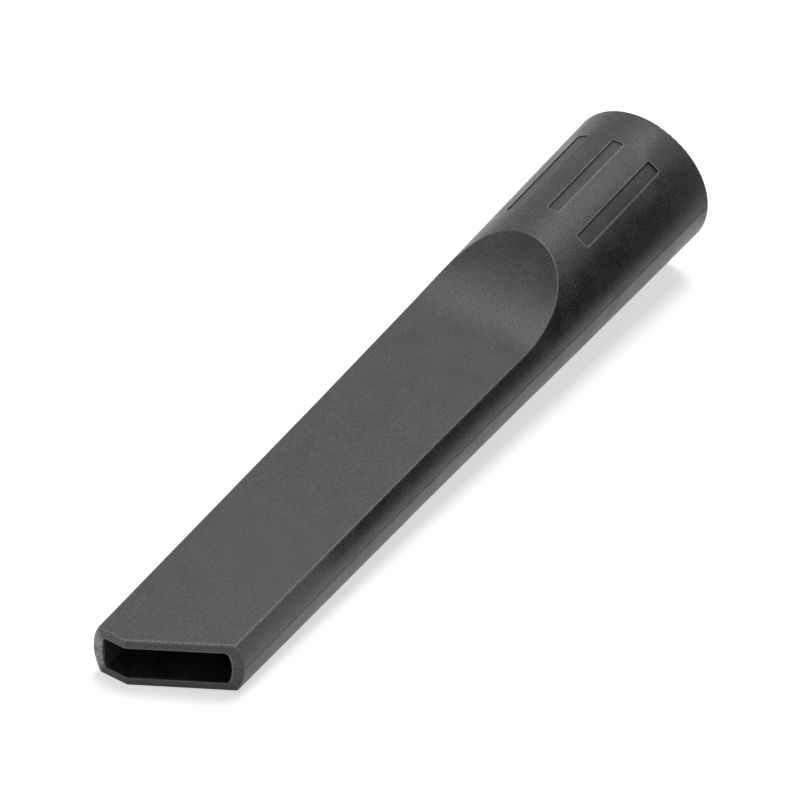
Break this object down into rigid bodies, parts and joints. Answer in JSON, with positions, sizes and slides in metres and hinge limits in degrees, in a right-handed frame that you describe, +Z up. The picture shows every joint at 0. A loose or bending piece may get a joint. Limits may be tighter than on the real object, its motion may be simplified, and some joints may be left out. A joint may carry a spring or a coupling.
{
  "type": "vacuum crevice tool",
  "caption": "One-piece moulded vacuum crevice tool: a round socket that pushes onto the wand, scooped down into a flat slot nozzle with a slanted mouth.",
  "frame": {"origin": "middle of the tool's outline on the surface that it lies on", "axes": "+Z up from that surface, +Y from the nozzle's mouth towards the socket, +X across the nozzle; the tool lies on its nose and on the crest of its lower scoop, so its axis climbs by 4.24 degrees towards the socket"},
  "size_m": [0.0382, 0.2014, 0.0408],
  "materials": {
    "black_plastic": "fine spark-eroded grain, matt"
  },
  "bodies": {
    "root": {"crevice_tool": "black_plastic"}
  },
  "joints": []
}
